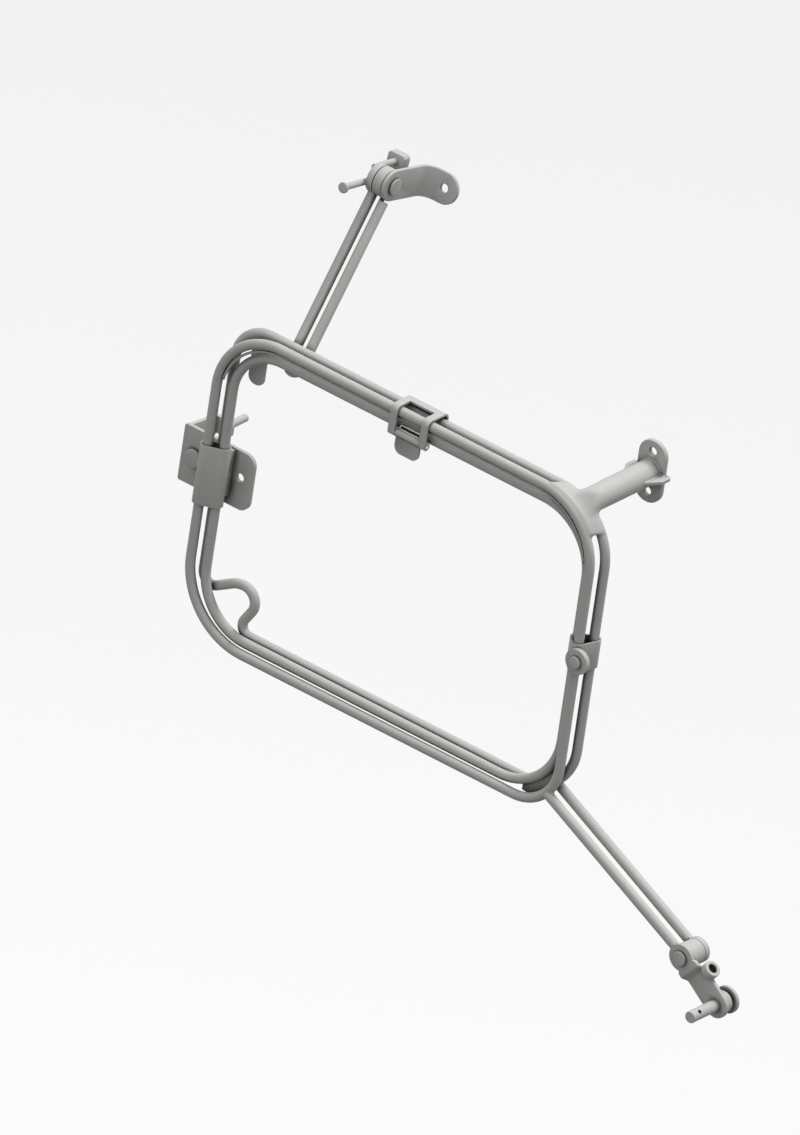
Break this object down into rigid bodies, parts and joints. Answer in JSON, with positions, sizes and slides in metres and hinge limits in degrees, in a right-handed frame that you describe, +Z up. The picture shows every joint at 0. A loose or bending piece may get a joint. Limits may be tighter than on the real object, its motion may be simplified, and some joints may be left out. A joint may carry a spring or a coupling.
{
  "type": "case mount bracket",
  "caption": "Motorbike side rack of nested bent round-bar loops with braced arms, a stub flange, a hinged latch, clamps and pivoting mounting links that carry a side case.",
  "frame": {"origin": "on the stub flange's mating face, midway between its two bolt holes", "axes": "+X along the rack's top bar, +Y from the case side towards the motorbike, +Z up the rack's sides"},
  "size_m": [0.7389, 0.222, 0.6157],
  "materials": {
    "grey_paint": "matte",
    "bright_pin": "brushed"
  },
  "bodies": {
    "rack": {"block_pin": "grey_paint", "clamp_bolt": "grey_paint", "clamp_bracket": "grey_paint", "clamp_nut": "grey_paint", "clamp_sleeve": "grey_paint", "corner_saddle": "grey_paint", "corner_tab": "grey_paint", "corner_web": "grey_paint", "front_loop": "grey_paint", "headed_pin": "grey_paint", "inner_loop": "grey_paint", "latch_bracket": "grey_paint", "latch_pin": "bright_pin", "locating_pin": "grey_paint", "lower_arm_front": "grey_paint", "lower_arm_rear": "grey_paint", "lower_rivet": "grey_paint", "pivot_spacer": "grey_paint", "rear_loop": "grey_paint", "side_clamp": "grey_paint", "side_screw": "grey_paint", "stub_fins": "grey_paint", "stub_flange": "grey_paint", "stub_tube": "grey_paint", "upper_arm": "grey_paint", "upper_rivet": "grey_paint"},
    "upper_link": {"upper_link": "grey_paint"},
    "foot": {"foot_plate": "grey_paint", "foot_pin": "grey_paint", "foot_boss": "grey_paint"},
    "latch_flap": {"latch_flap": "grey_paint"}
  },
  "joints": [
    {"name": "upper_link_pivot", "type": "hinge", "parent": "rack", "child": "upper_link", "pos_m": [-0.3604, 0.00586, 0.15046], "axis": [1, 0, 0], "range_deg": [-30, 45]},
    {"name": "foot_pivot", "type": "hinge", "parent": "rack", "child": "foot", "pos_m": [0.20155, -0.10785, -0.40148], "axis": [0, 1, 0], "range_deg": [-30, 30]},
    {"name": "latch_hinge", "type": "hinge", "parent": "rack", "child": "latch_flap", "pos_m": [-0.2024, -0.12025, -0.0147], "axis": [-1, 0, 0], "range_deg": [0, 100]}
  ]
}
